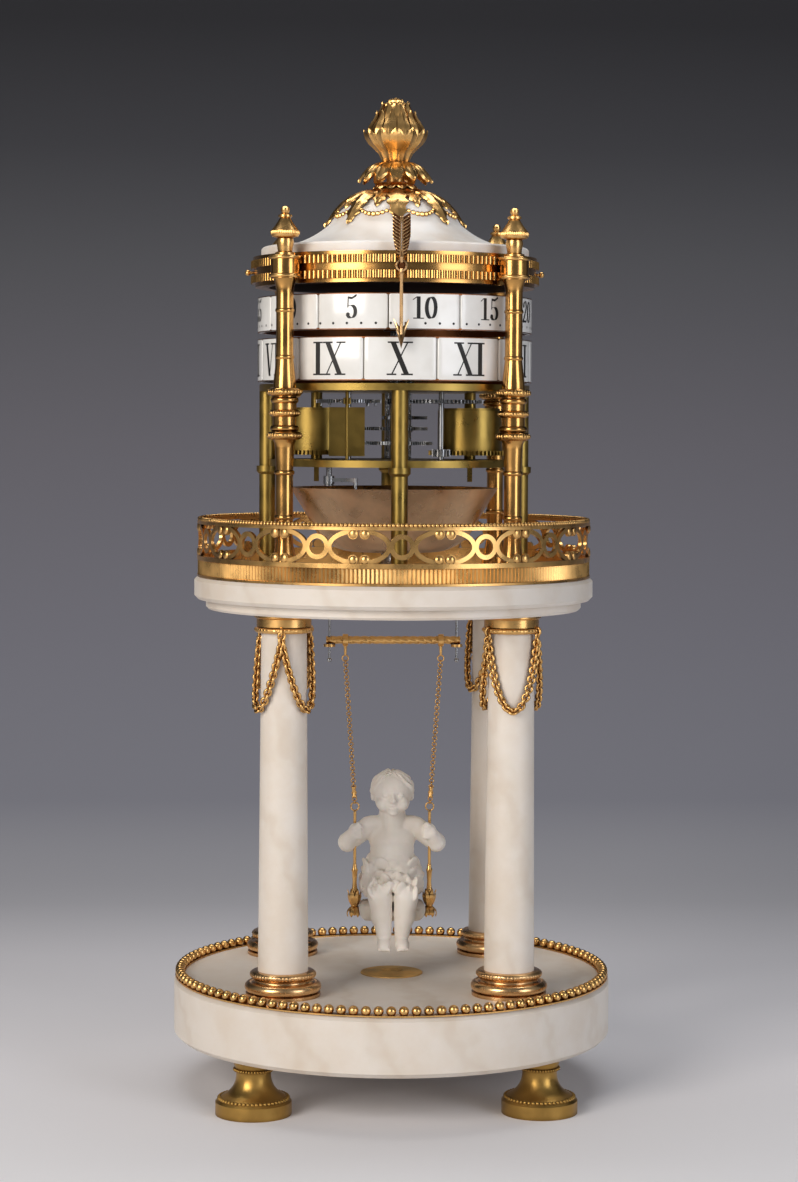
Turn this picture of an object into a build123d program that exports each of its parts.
from build123d import *

import math
import os

# Portico swing clock with revolving ring dials: marble, gilt brass, enamel and bisque.
# Millimetres, +Z up. The origin is the middle of the footprint, on the surface that the clock stands on.
# The front of the clock faces -Y.

# Plan radii: the dial rings place the columns, and the columns set the plinth and the gallery
RING_RADIUS = 60.6
COLUMN_CLEARANCE = 8.7
COLUMN_CIRCLE = RING_RADIUS + COLUMN_CLEARANCE
COLUMN_OFFSET = COLUMN_CIRCLE / math.sqrt(2)
COLUMN_BASE_RADIUS = 16.6

# Marble plinth and its feet
FOOT_HEIGHT = 22.8
FOOT_RADIUS = 16.4
FOOT_NECK_RADIUS = 7.6
FOOT_INSET = 10.7
PLINTH_MARGIN = 11.8
PLINTH_RADIUS = COLUMN_CIRCLE + COLUMN_BASE_RADIUS + PLINTH_MARGIN
FOOT_CIRCLE = PLINTH_RADIUS - FOOT_INSET
PLINTH_THICKNESS = 26.0
PLINTH_ROUNDING = 2.0
BEAD_RADIUS = 2.15
BEAD_SPACING = 5.3
BEAD_STRIP = 0.6
BEAD_SEAT = 0.75
BEAD_RING_INSET = 2.6
MEDALLION_RADIUS = 14.0
MEDALLION_THICKNESS = 1.6
MEDALLION_EDGE = 0.6

# Marble columns under the platform
COLUMN_LENGTH = 164.8
COLUMN_FOOT_RADIUS = 10.9
COLUMN_NECK_RADIUS = 9.8
COLUMN_BASE_HEIGHT = 10.8
CAPITAL_RADIUS = 12.8
CAPITAL_HEIGHT = 7.0
TIE_ROD_RADIUS = 2.0
TIE_NUT_RADIUS = 4.0
TIE_NUT_HEIGHT = 5.0

# Chain garlands round the column tops
GARLANDS_PER_COLUMN = 3
GARLAND_DROP_BELOW_CAPITAL = 3.4
GARLAND_SAG = 30.0
LINK_RADIUS = 1.45
LINK_WIRE_RADIUS = 0.42
LINK_PLAY = 0.06
GARLAND_TURNS_DEG = {(-1, -1): -95.0, (1, -1): -30.0, (-1, 1): 95.0, (1, 1): 30.0}

# Marble platform and its gilt gallery
GALLERY_WALK = 18.3
GALLERY_RADIUS = COLUMN_CIRCLE + GALLERY_WALK
PLATFORM_LEDGE = 1.3
PLATFORM_RADIUS = GALLERY_RADIUS + PLATFORM_LEDGE
PLATFORM_THICKNESS = 10.0
PLATFORM_STEP_INSET = 5.2
PLATFORM_STEP_RADIUS = PLATFORM_RADIUS - PLATFORM_STEP_INSET
PLATFORM_STEP_THICKNESS = 4.4
PLATFORM_ROUNDING = 1.6
GALLERY_WALL = 1.4
BAND_HEIGHT = 8.6
BAND_WALL = 2.2
BAND_FILLET = 1.2
BAND_FLUTES = 128
BAND_FLUTE_DEPTH = 0.6
PIERCED_HEIGHT = 15.6
GALLERY_UNITS = 15
GALLERY_STRAP = 2.0
GALLERY_RING_RADIUS = 5.4
GALLERY_LOBE_RADIUS = 2.2
GALLERY_RAIL = 0.8
GALLERY_RIM_RADIUS = 1.15

# Bell
BELL_RIM_RADIUS = 46.4
BELL_WAIST_RADIUS = 36.5
BELL_HEIGHT = 28.5
BELL_WALL = 2.0
BELL_LIFT = 11.0
BELL_STUD_RADIUS = 2.0
BELL_STAND_RADIUS = 11.0
BELL_NUT_HEIGHT = 3.2

# Movement plates and posts
PLATE_INSET = 4.6
PLATE_RADIUS = RING_RADIUS - PLATE_INSET
POST_OUTSET = 0.5
POST_CIRCLE = PLATE_RADIUS + POST_OUTSET
POST_RADIUS = 3.6
POST_COLLAR_RADIUS = 4.8
POST_COLLAR_HEIGHT = 2.5
PLATE_THICKNESS = 3.0
LOWER_PLATE_LIFT = 49.0
PLATE_GAP = 30.0
SCREW_RADIUS = 1.3
SCREW_HEAD_RADIUS = 2.4
SCREW_HEAD_HEIGHT = 1.2
SCREW_SLOT = 0.5
SCREW_LENGTH = 8.0

# Gear train: modules, tooth counts and axial places above the lower plate
GREAT_MODULE = 0.6
GREAT_TEETH = 60
GREAT_PINION = 12
TRAIN_MODULE = 0.4
CENTRE_TEETH = 84
THIRD_TEETH = 77
PIN_WHEEL_TEETH = 70
TRAIN_PINION = 7
ESCAPE_TEETH = 40
ESCAPE_RADIUS = 8.0
ESCAPE_TOOTH_DEPTH = 1.1
PALLET_CLEARANCE = 0.8
PALLET_LENGTH = 2.0
PALLET_WIDTH = 1.2
PALLET_SPREAD_DEG = 50.0
STRIKE_PINS = 8
STRIKE_PIN_RADIUS = 0.5
STRIKE_PIN_LENGTH = 1.4
CANNON_TEETH = 12
MINUTE_WHEEL_TEETH = 36
MINUTE_PINION = 10
HOUR_WHEEL_TEETH = 40
MOTION_MODULE = 0.5
WHEEL_THICKNESS = 1.5
PINION_OVERLAP = 0.6
GREAT_WHEEL_THICKNESS = 2.0
TOOTH_SHARE = 0.40
LEAF_SHARE = 0.32
ARBOR_RADIUS = 1.2
FAST_ARBOR_RADIUS = 0.75
PIVOT_RADIUS = 0.5
BARREL_OFFSET_X = 34.5
BARREL_OFFSET_Y = 10.0
BARREL_RADIUS = 14.5
BARREL_PIVOT_RADIUS = 1.6
BARREL_LIP = 1.0
WINDING_SQUARE = 2.2
WINDING_SQUARE_LENGTH = 7.0
GREAT_LEVEL = 2.0
DRUM_TOP_LEVEL = 23.0
UPPER_WHEEL_LEVEL = 25.0
CENTRE_WHEEL_LEVEL = 6.5
THIRD_WHEEL_LEVEL = 13.0
ESCAPE_WHEEL_LEVEL = 18.0
FLY_WIDTH = 15.6
FLY_THICKNESS = 0.7
FLY_LOW_LEVEL = 1.6
RUNNING_CLEARANCE = 0.05
END_SHAKE = 0.15

# Hammer under the lower plate
HAMMER_STUD_RADIUS = 1.2
HAMMER_STUD_FOOT = 0.8
HAMMER_HUB_RADIUS = 2.4
HAMMER_HUB_HEIGHT = 3.5
HAMMER_HUB_DROP = 4.0
HAMMER_ARM = 14.0
HAMMER_ARM_WIDTH = 1.6
HAMMER_HEAD_RADIUS = 3.0
HAMMER_HEAD_DROP = 4.5
HAMMER_STRIKE_GAP = 0.45

# Ring dials
PLAQUE_THICKNESS = 1.8
RING_BAND = 1.2
RING_LIP = 0.7
RING_LIP_PROUD = 0.2
PLAQUES = 12
PLAQUE_GAP_DEG = 0.5
HOUR_RING_LIFT = 1.2
HOUR_RING_HEIGHT = 18.6
RING_GAP = 3.0
MINUTE_RING_HEIGHT = 15.4
MINUTE_REST_TURN_DEG = 10.0
RING_ARMS = 4
ARM_WIDTH = 4.0
ARM_THICKNESS = 1.8
CENTRE_ARBOR_RADIUS = 2.0
HUB_RADIUS = 5.0
HUB_HEIGHT = 8.0
HUB_SEAT = 1.0
CANNON_LIFT = 1.5
CANNON_HEIGHT = 3.0
MINUTE_WHEEL_LIFT = 1.8
MINUTE_PINION_HEIGHT = 4.4
HOUR_HUB_LIFT = 6.0
HOUR_ARM_LIFT = 8.0
MINUTE_HUB_LIFT = 1.2
MINUTE_ARM_LIFT = 4.2

# Gilt upper columns, cornice, dome and finial
CORNICE_CLEARANCE = 4.6
CORNICE_OVERHANG = 3.4
CORNICE_RADIUS = RING_RADIUS + CORNICE_OVERHANG
CORNICE_HEIGHT = 13.2
CORNICE_WIDTH = 8.0
CORNICE_BOARD_RADIUS = CORNICE_RADIUS - CORNICE_WIDTH
CORNICE_BOARD_THICKNESS = 3.0
EAR_RADIUS = 6.2
EAR_LIFT = 1.8
EAR_DROP = 1.7
UPPER_SHAFT_RADIUS = 3.75
UPPER_KNOP_RADIUS = 7.4
UPPER_BASE_RADIUS = 6.0
UPPER_BASE_HEIGHT = 26.0
KNOP_HEIGHT = 25.8
KNOP_DROP = 9.9
UPPER_NECK_DROP = 13.7
UPPER_FLARE = 1.3
UPPER_FLARE_HEIGHT = 7.0
MILLED_DISC_RADIUS = 6.0
MILLED_FLUTES = 180
MILLED_DEPTH = 0.45
DOME_INSET = 4.6
DOME_RADIUS = CORNICE_RADIUS - DOME_INSET
DOME_HEIGHT = 28.0
DOME_NECK_RADIUS = 12.0
DOME_EDGE = 4.4
CROWN_LIFT = 15.0
DECK_CLEARANCE = 0.3
CAP_RADIUS = 30.6
CAP_WALL = 1.4
CAP_LEAVES = 8
CAP_VALLEY = 23.0
CAP_HOLE_RADIUS = 2.6
CAP_NECK = 4.0
COLLAR_RADIUS = 16.2
COLLAR_PETALS = 12
COLLAR_VALLEY = 10.5
COLLAR_HEIGHT = 9.0
COLLAR_WALL = 1.2
FINIAL_HEIGHT = 28.6
FINIAL_RADIUS = 14.0
FINIAL_STEM = 4.0
FINIAL_LIFT = 1.0
COLUMN_FINIAL_HEIGHT = 20.8
PIN_BALL_RADIUS = 1.3

# Arrow pointer
ARROW_LENGTH = 57.0
ARROW_THICKNESS = 1.0
ARROW_TAIL_WIDTH = 7.6
ARROW_HEAD_WIDTH = 7.0
ARROW_SHAFT_WIDTH = 1.5
ARROW_TIP_DROP = 35.0
ARROW_STANDOFF = 1.0
RIVET_RADIUS = 0.8
RIVET_HOLE = 0.85
ARROW_BOSS_RADIUS = 2.0
RIVET_HEAD_RADIUS = 1.4
RIVET_HEAD = 0.8

# Swing, which is the pendulum
BAR_DROP = 14.4
BAR_RADIUS = 1.8
BAR_LENGTH = 60.0
SUSPENSION_SPACING = 57.0
SUSPENSION_ROD_RADIUS = 0.6
SUSPENSION_TAIL = 9.0
RATING_NUT_RADIUS = 2.6
RATING_NUT_HEIGHT = 1.2
HOOK_SPACING = 42.8
HOOK_WIDTH = 2.4
HOOK_WALL = 0.8
HOOK_CLEARANCE = 0.08
EYE_RADIUS = 1.35
EYE_WIRE = 0.3
RING_LINK_RADIUS = 1.8
RING_LINK_WIRE = 0.32
END_PLAY = 0.1
SEAT_SPACING = 33.6
CHAIN_TOP_DROP = 8.2
CHAIN_BOTTOM_DROP = 75.0
CHAIN_LINK_RADIUS = 0.97
CHAIN_WIRE_RADIUS = 0.25
HANGER_RADIUS = 0.65
SEAT_DROP = 118.0
SEAT_THICKNESS = 8.0
SEAT_DEPTH = 20.0
SWING_SEAT_WIDTH = 31.0
SEAT_ROUNDING = 2.0
MOUNT_RISE = 17.0
MOUNT_SHORT = 3.0
MOUNT_RADIUS = 3.4
FIGURE_HEIGHT = 59.1
HEAD_RADIUS = 9.8
SEAT_CUT = 60.0

# Heights that follow from the sizes above
PLINTH_LOW = FOOT_HEIGHT
PLINTH_TOP = PLINTH_LOW + PLINTH_THICKNESS
STEP_LOW = PLINTH_TOP + COLUMN_LENGTH
PLATFORM_LOW = STEP_LOW + PLATFORM_STEP_THICKNESS
PLATFORM_TOP = PLATFORM_LOW + PLATFORM_THICKNESS
BAND_TOP = PLATFORM_TOP + BAND_HEIGHT
PIERCED_TOP = BAND_TOP + PIERCED_HEIGHT
LOWER_PLATE_LOW = PLATFORM_TOP + LOWER_PLATE_LIFT
LOWER_PLATE_TOP = LOWER_PLATE_LOW + PLATE_THICKNESS
UPPER_PLATE_LOW = LOWER_PLATE_TOP + PLATE_GAP
UPPER_PLATE_TOP = UPPER_PLATE_LOW + PLATE_THICKNESS
HOUR_LOW = UPPER_PLATE_TOP + HOUR_RING_LIFT
HOUR_TOP = HOUR_LOW + HOUR_RING_HEIGHT
MINUTE_LOW = HOUR_TOP + RING_GAP
MINUTE_TOP = MINUTE_LOW + MINUTE_RING_HEIGHT
CORNICE_LOW = MINUTE_TOP + CORNICE_CLEARANCE
CORNICE_TOP = CORNICE_LOW + CORNICE_HEIGHT
DOME_TOP = CORNICE_TOP + DOME_HEIGHT
BAR_HEIGHT = STEP_LOW - BAR_DROP
SEAT_TOP = BAR_HEIGHT - SEAT_DROP
CANNON_LOW = UPPER_PLATE_TOP + CANNON_LIFT
CANNON_TOP = CANNON_LOW + CANNON_HEIGHT
MINUTE_WHEEL_LOW = UPPER_PLATE_TOP + MINUTE_WHEEL_LIFT
MINUTE_PINION_TOP = MINUTE_WHEEL_LOW + WHEEL_THICKNESS + MINUTE_PINION_HEIGHT
HOUR_HUB_LOW = UPPER_PLATE_TOP + HOUR_HUB_LIFT
HOUR_HUB_TOP = HOUR_HUB_LOW + HUB_HEIGHT
HOUR_ARM_LOW = UPPER_PLATE_TOP + HOUR_ARM_LIFT
MINUTE_HUB_LOW = MINUTE_LOW + MINUTE_HUB_LIFT
MINUTE_ARM_LOW = MINUTE_LOW + MINUTE_ARM_LIFT
CENTRE_ARBOR_TOP = MINUTE_HUB_LOW + HUB_HEIGHT
HAMMER_TOP = LOWER_PLATE_LOW - HAMMER_HUB_DROP
HAMMER_LOW = HAMMER_TOP - HAMMER_HUB_HEIGHT
EAR_LOW = CORNICE_LOW + EAR_LIFT
EAR_TOP = CORNICE_TOP - EAR_DROP
ARROW_RIVET_HEIGHT = CORNICE_LOW + CORNICE_HEIGHT / 2

PLAN_CORNERS = [(x, y) for x in (-COLUMN_OFFSET, COLUMN_OFFSET) for y in (-COLUMN_OFFSET, COLUMN_OFFSET)]


# Shared helpers
def turned(start, *steps):
    """Solid turned about Z from (radius, height) points; a pair of points is an arc through the first."""
    edges = []
    here = start
    for step in steps:
        if isinstance(step[0], tuple):
            through, end = step
            edges.append(ThreePointArc(*[(r, 0, z) for r, z in (here, through, end)]))
        else:
            end = step
            edges.append(Line((here[0], 0, here[1]), (end[0], 0, end[1])))
        here = end
    if here != start:
        edges.append(Line((here[0], 0, here[1]), (start[0], 0, start[1])))
    return revolve(make_face(edges), Axis.Z)


def cap_arc(radius, low, rise):
    """Arc step from a rim up to the axis, as part of a sphere centred on the axis."""
    sphere = (radius**2 + rise**2) / (2 * rise)
    half = math.asin(min(1, radius / sphere)) / 2
    return ((sphere * math.sin(half), low + rise - sphere * (1 - math.cos(half))), (0, low + rise))


def rod(radius, low, high, at=(0, 0)):
    """Upright cylinder between two heights."""
    standing = (Align.CENTER, Align.CENTER, Align.MIN)
    return Pos(at[0], at[1], low) * Cylinder(radius, high - low, align=standing)


def ring(outer, inner, low, high):
    """Upright tube about the clock's axis."""
    return rod(outer, low, high) - rod(inner, low - 1, high + 1)


def strut(start, end, start_radius, end_radius):
    """Round bar between two points, tapering from one radius to the other."""
    start, end = Vector(*start), Vector(*end)
    plane = Plane(start, z_dir=(end - start))
    length = (end - start).length
    if abs(start_radius - end_radius) < 1e-6:
        bar = Cylinder(start_radius, length, align=(Align.CENTER, Align.CENTER, Align.MIN))
    else:
        bar = Cone(start_radius, end_radius, length, align=(Align.CENTER, Align.CENTER, Align.MIN))
    return plane * bar


def limb(start, end, start_radius, end_radius):
    """Tapered bar with round ends, as an arm or a leg: one turned piece, tangent to a ball at each end."""
    start, end = Vector(*start), Vector(*end)
    length = (end - start).length
    lean = math.asin((start_radius - end_radius) / length)

    def on_ball(radius, centre, angle):
        return (radius * math.cos(angle), centre + radius * math.sin(angle))

    capsule = turned(
        (0, -start_radius),
        (on_ball(start_radius, 0, (lean - math.pi / 2) / 2), on_ball(start_radius, 0, lean)),
        on_ball(end_radius, length, lean),
        (on_ball(end_radius, length, (lean + math.pi / 2) / 2), (0, length + end_radius)),
    )
    return Plane(start, z_dir=(end - start)) * capsule


def polar(radius, angle_deg, centre=(0, 0)):
    """Plan point at a radius and angle from a centre."""
    angle = math.radians(angle_deg)
    return (centre[0] + radius * math.cos(angle), centre[1] + radius * math.sin(angle))


def bearing(start, end):
    """Plan angle in degrees from one point to another."""
    return math.degrees(math.atan2(end[1] - start[1], end[0] - start[0]))


def apex(first, second, first_reach, second_reach, side):
    """Plan point at given distances from two points, on the side named by +1 or -1."""
    span = math.dist(first, second)
    along = (first_reach**2 - second_reach**2 + span**2) / (2 * span)
    off = math.sqrt(first_reach**2 - along**2)
    ux, uy = (second[0] - first[0]) / span, (second[1] - first[1]) / span
    return (first[0] + along * ux - side * off * uy, first[1] + along * uy + side * off * ux)


def at_corners(shape):
    """Copies of a shape made on the clock's axis, one at each corner of the column square."""
    return [Pos(x, y, 0) * shape for x, y in PLAN_CORNERS]


def write(name, *shapes):
    """Writes one node, with each shape's solids kept apart."""
    solids = [solid for shape in shapes for solid in shape.solids()]
    node = solids[0] if len(solids) == 1 else Compound(children=solids)
    export_step(node, os.path.join("parts", name + ".step"))


# Gears
def pitch_radius(teeth, module):
    return teeth * module / 2


def toothed_disc(teeth, module, share, low, high, phase_deg, rise=0.95, depth=1.35):
    """Disc of radial-flanked clock teeth with ogive tips; a tooth is centred on the phase angle."""
    pitch = pitch_radius(teeth, module)
    half = share * 180 / teeth
    profile = [
        (pitch - depth * module, -half),
        (pitch, -half),
        (pitch + rise * module, -half * 0.3),
        (pitch + rise * module, half * 0.3),
        (pitch, half),
        (pitch - depth * module, half),
    ]
    points = [
        polar(radius, phase_deg + index * 360 / teeth + turn)
        for index in range(teeth)
        for radius, turn in profile
    ]
    outline = make_face(Polyline(*points, close=True))
    return Pos(0, 0, low) * extrude(outline, high - low)


def crossed_wheel(teeth, module, low, thickness, phase_deg, arms=4, arm_width=2.0, hub=4.0, rim=2.2):
    """Toothed wheel with its web crossed out to leave arms."""
    wheel = toothed_disc(teeth, module, TOOTH_SHARE, low, low + thickness, phase_deg)
    outer = pitch_radius(teeth, module) - 1.35 * module - rim
    window = ring(outer, hub, low - 1, low + thickness + 1)
    bar = Pos(outer / 2 + 1, 0, low + thickness / 2) * Box(outer + 2, arm_width, thickness + 4)
    for index in range(arms):
        window -= Rot(0, 0, 360 * index / arms) * bar
    return wheel - window


def pinion(leaves, module, low, high, phase_deg):
    """Small leaf pinion."""
    return toothed_disc(leaves, module, LEAF_SHARE, low, high, phase_deg, rise=0.7, depth=1.3)


def arbor(radius=ARBOR_RADIUS, pivot=PIVOT_RADIUS):
    """Arbor between the plates, with a pivot through each."""
    body = rod(radius, LOWER_PLATE_TOP + END_SHAKE, UPPER_PLATE_LOW - END_SHAKE)
    return body + rod(pivot, LOWER_PLATE_LOW, UPPER_PLATE_TOP)


def gap_phase(towards_deg, leaves):
    """Phase that centres a gap between leaves on a bearing."""
    return towards_deg + 180 / leaves


# Plan of the train
GREAT_REACH = pitch_radius(GREAT_TEETH + GREAT_PINION, GREAT_MODULE)
CENTRE_AT = (0.0, 0.0)
GOING_BARREL_AT = (BARREL_OFFSET_X, BARREL_OFFSET_Y)
STRIKE_BARREL_AT = (-BARREL_OFFSET_X, BARREL_OFFSET_Y)
INTERMEDIATE_AT = apex(GOING_BARREL_AT, CENTRE_AT, GREAT_REACH, GREAT_REACH, 1)
PIN_WHEEL_AT = (-INTERMEDIATE_AT[0], INTERMEDIATE_AT[1])
THIRD_AT = polar(pitch_radius(CENTRE_TEETH + TRAIN_PINION, TRAIN_MODULE), 90)
ESCAPE_AT = polar(pitch_radius(THIRD_TEETH + TRAIN_PINION, TRAIN_MODULE), 60, THIRD_AT)
FLY_AT = polar(pitch_radius(PIN_WHEEL_TEETH + TRAIN_PINION, TRAIN_MODULE), -94, PIN_WHEEL_AT)
ANCHOR_REACH = 11.6
ANCHOR_BEARING = 150.0
ANCHOR_AT = polar(ANCHOR_REACH, ANCHOR_BEARING, ESCAPE_AT)
MOTION_REACH = pitch_radius(CANNON_TEETH + MINUTE_WHEEL_TEETH, MOTION_MODULE)
HOUR_MODULE = 2 * MOTION_REACH / (MINUTE_PINION + HOUR_WHEEL_TEETH)
MINUTE_WHEEL_BEARING = 55.0
MINUTE_WHEEL_AT = polar(MOTION_REACH, MINUTE_WHEEL_BEARING)
HAMMER_AT = (-29.5, -25.0)
SMALL_PIVOTS = [CENTRE_AT, INTERMEDIATE_AT, PIN_WHEEL_AT, THIRD_AT, ESCAPE_AT, FLY_AT, ANCHOR_AT]
BARREL_PIVOTS = [GOING_BARREL_AT, STRIKE_BARREL_AT]
POSTS = [polar(POST_CIRCLE, turn) for turn in (-90, 0, 90, 180)]


def train_level(level):
    """Height of a level above the lower plate."""
    return LOWER_PLATE_TOP + level


# Plinth, feet and columns
def make_feet():
    """Trumpet feet with a flat round tread and a beaded shoulder."""
    tread = 6.6
    foot = turned(
        (0, 0),
        (FOOT_RADIUS, 0),
        (FOOT_RADIUS, tread - 1.0),
        (FOOT_RADIUS - 1.0, tread),
        (FOOT_RADIUS - 2.4, tread + 1.2),
        ((FOOT_NECK_RADIUS + 2.0, tread + 4.4), (FOOT_NECK_RADIUS, FOOT_HEIGHT - 4.0)),
        (FOOT_NECK_RADIUS + 1.2, FOOT_HEIGHT),
        (0, FOOT_HEIGHT),
    )
    return [Pos(*polar(FOOT_CIRCLE, turn), 0) * foot for turn in (45, 135, 225, 315)]


def make_plinth():
    """Round marble slab with softened edges, drilled for the tie rods."""
    slab = turned(
        (0, PLINTH_LOW),
        (PLINTH_RADIUS - PLINTH_ROUNDING, PLINTH_LOW),
        (PLINTH_RADIUS, PLINTH_LOW + PLINTH_ROUNDING),
        (PLINTH_RADIUS, PLINTH_TOP - PLINTH_ROUNDING),
        (PLINTH_RADIUS - PLINTH_ROUNDING, PLINTH_TOP),
        (0, PLINTH_TOP),
    )
    for corner in PLAN_CORNERS:
        slab -= rod(TIE_ROD_RADIUS + RUNNING_CLEARANCE, PLINTH_LOW - 1, PLINTH_TOP + 1, corner)
    return slab


def make_bead_ring():
    """Gilt strip round the plinth's top edge and the beads that stand on it."""
    middle = PLINTH_RADIUS - BEAD_RING_INSET
    strip_top = PLINTH_TOP + BEAD_STRIP
    height = strip_top + BEAD_SEAT * BEAD_RADIUS
    count = round(2 * math.pi * middle / BEAD_SPACING)
    floor = Pos(0, 0, -BEAD_RADIUS * (1 + BEAD_SEAT)) * Box(5 * BEAD_RADIUS, 5 * BEAD_RADIUS, 2 * BEAD_RADIUS)
    bead = Sphere(BEAD_RADIUS) - floor
    beads = [Pos(*polar(middle, index * 360 / count), height) * bead for index in range(count)]
    return [ring(middle + BEAD_RADIUS, middle - BEAD_RADIUS, PLINTH_TOP, strip_top), *beads]


def make_medallion():
    """Domed gilt boss let on to the plinth under the swing."""
    edge = PLINTH_TOP + MEDALLION_EDGE
    return turned(
        (0, PLINTH_TOP),
        (MEDALLION_RADIUS, PLINTH_TOP),
        (MEDALLION_RADIUS, edge),
        cap_arc(MEDALLION_RADIUS, edge, MEDALLION_THICKNESS - MEDALLION_EDGE),
    )


def make_column_bases():
    """Gilt attic bases: a fat torus, a hollow and a beaded upper ring."""
    low, high = PLINTH_TOP, PLINTH_TOP + COLUMN_BASE_HEIGHT
    wide = COLUMN_BASE_RADIUS
    base = turned(
        (TIE_ROD_RADIUS + RUNNING_CLEARANCE, low),
        (wide - 0.4, low),
        (wide - 0.4, low + 1.4),
        (wide - 1.4, low + 1.8),
        ((wide, low + 4.2), (wide - 2.0, low + 6.2)),
        ((wide - 4.0, low + 7.2), (wide - 3.2, low + 8.2)),
        ((wide - 2.4, low + 9.3), (wide - 3.4, high)),
        (TIE_ROD_RADIUS + RUNNING_CLEARANCE, high),
    )
    return at_corners(base)


def make_column_shafts():
    """Tapering marble shafts, bored for the tie rods."""
    low = PLINTH_TOP + COLUMN_BASE_HEIGHT
    high = STEP_LOW - CAPITAL_HEIGHT
    bore = TIE_ROD_RADIUS + RUNNING_CLEARANCE
    shaft = turned((bore, low), (COLUMN_FOOT_RADIUS, low), (COLUMN_NECK_RADIUS, high), (bore, high))
    return at_corners(shaft)


def make_capitals():
    """Plain gilt drums with a roped ring at the lower edge."""
    low, high = STEP_LOW - CAPITAL_HEIGHT, STEP_LOW
    wide = CAPITAL_RADIUS
    bore = TIE_ROD_RADIUS + RUNNING_CLEARANCE
    capital = turned(
        (bore, low),
        (COLUMN_NECK_RADIUS + 0.6, low),
        ((wide - 0.2, low + 0.9), (COLUMN_NECK_RADIUS + 1.0, low + 1.8)),
        (wide - 1.0, low + 2.2),
        (wide - 1.0, high - 1.4),
        (wide, high - 0.8),
        (wide, high),
        (bore, high),
    )
    return at_corners(capital)


def make_tie_rods():
    """Long rods that clamp plinth, column and platform, with a nut under the plinth."""
    low = PLINTH_LOW - TIE_NUT_HEIGHT - 1.5
    tie = rod(TIE_ROD_RADIUS, low, PLATFORM_LOW + PLATFORM_THICKNESS / 2)
    nut = Pos(0, 0, PLINTH_LOW - TIE_NUT_HEIGHT) * extrude(RegularPolygon(TIE_NUT_RADIUS, 6), TIE_NUT_HEIGHT)
    return at_corners(tie + nut)


def make_garlands():
    """Chain garlands: round links, each a quarter turn from the last, along hanging curves on each column."""
    top = STEP_LOW - CAPITAL_HEIGHT - GARLAND_DROP_BELOW_CAPITAL
    lie = COLUMN_FOOT_RADIUS + (LINK_RADIUS + LINK_WIRE_RADIUS) * math.sin(math.pi / 4)
    span = 360 / GARLANDS_PER_COLUMN
    pitch = 2 * (LINK_RADIUS - LINK_WIRE_RADIUS) - LINK_PLAY
    samples = 400

    def place(share):
        across = 2 * share - 1
        x, y = polar(lie, share * span)
        return Vector(x, y, top - GARLAND_SAG * (1 - across**2))

    path = [place(index / samples) for index in range(samples + 1)]
    runs = [0.0]
    for start, end in zip(path, path[1:]):
        runs.append(runs[-1] + (end - start).length)
    count = int(runs[-1] / pitch)
    link = Torus(LINK_RADIUS, LINK_WIRE_RADIUS)
    garland = []
    for index in range(count):
        reach = (index + 0.5) * runs[-1] / count
        near = min(range(1, samples), key=lambda sample: abs(runs[sample] - reach))
        along = path[near + 1] - path[near - 1]
        flat = Plane(path[near], x_dir=along, z_dir=along.cross(Vector(path[near].X, path[near].Y, 0)))
        garland.append(flat * Rot(45 if index % 2 else -45, 0, 0) * link)
    swags = [Rot(0, 0, turn * span) * piece for turn in range(GARLANDS_PER_COLUMN) for piece in garland]
    placed = []
    for (x, y), turn in GARLAND_TURNS_DEG.items():
        place_column = Pos(x * COLUMN_OFFSET, y * COLUMN_OFFSET, 0) * Rot(0, 0, turn)
        placed += [place_column * piece for piece in swags]
    return placed


# Platform, gallery and bell
def make_platform():
    """Stepped marble disc, drilled from below for the tie rods and the suspension rods."""
    wide, soft = PLATFORM_RADIUS, PLATFORM_ROUNDING
    slab = turned(
        (0, STEP_LOW),
        (PLATFORM_STEP_RADIUS - 1.0, STEP_LOW),
        (PLATFORM_STEP_RADIUS, STEP_LOW + 1.0),
        (PLATFORM_STEP_RADIUS, PLATFORM_LOW),
        (wide - soft, PLATFORM_LOW),
        (wide, PLATFORM_LOW + soft),
        (wide, PLATFORM_TOP - soft),
        (wide - soft, PLATFORM_TOP),
        (0, PLATFORM_TOP),
    )
    for corner in PLAN_CORNERS:
        slab -= rod(TIE_ROD_RADIUS, STEP_LOW - 1, PLATFORM_LOW + PLATFORM_THICKNESS / 2, corner)
    for side in (-1, 1):
        slab -= rod(SUSPENSION_ROD_RADIUS, STEP_LOW - 1, PLATFORM_LOW, (side * SUSPENSION_SPACING / 2, 0))
    return slab


def fluted_ring(outer, inner, low, high, flutes, depth):
    """Upright tube whose outer face is worked into hollow flutes."""
    step = 360 / flutes
    arcs = []
    for index in range(flutes):
        start = polar(outer, index * step)
        middle = polar(outer - depth, (index + 0.5) * step)
        end = polar(outer, (index + 1) * step)
        arcs.append(ThreePointArc(start, middle, end))
    outline = make_face(arcs) - Circle(inner)
    return Pos(0, 0, low) * extrude(outline, high - low)


def make_gallery_band():
    """Upright gilt band, fluted between a plain foot and a thin top moulding."""
    inner = GALLERY_RADIUS - BAND_WALL
    foot = ring(GALLERY_RADIUS, inner, PLATFORM_TOP, PLATFORM_TOP + BAND_FILLET)
    middle = fluted_ring(
        GALLERY_RADIUS - BAND_FILLET / 4,
        inner,
        PLATFORM_TOP + BAND_FILLET,
        BAND_TOP - BAND_FILLET,
        BAND_FLUTES,
        BAND_FLUTE_DEPTH,
    )
    top = ring(GALLERY_RADIUS, inner, BAND_TOP - BAND_FILLET, BAND_TOP)
    return foot + middle + top


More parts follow.
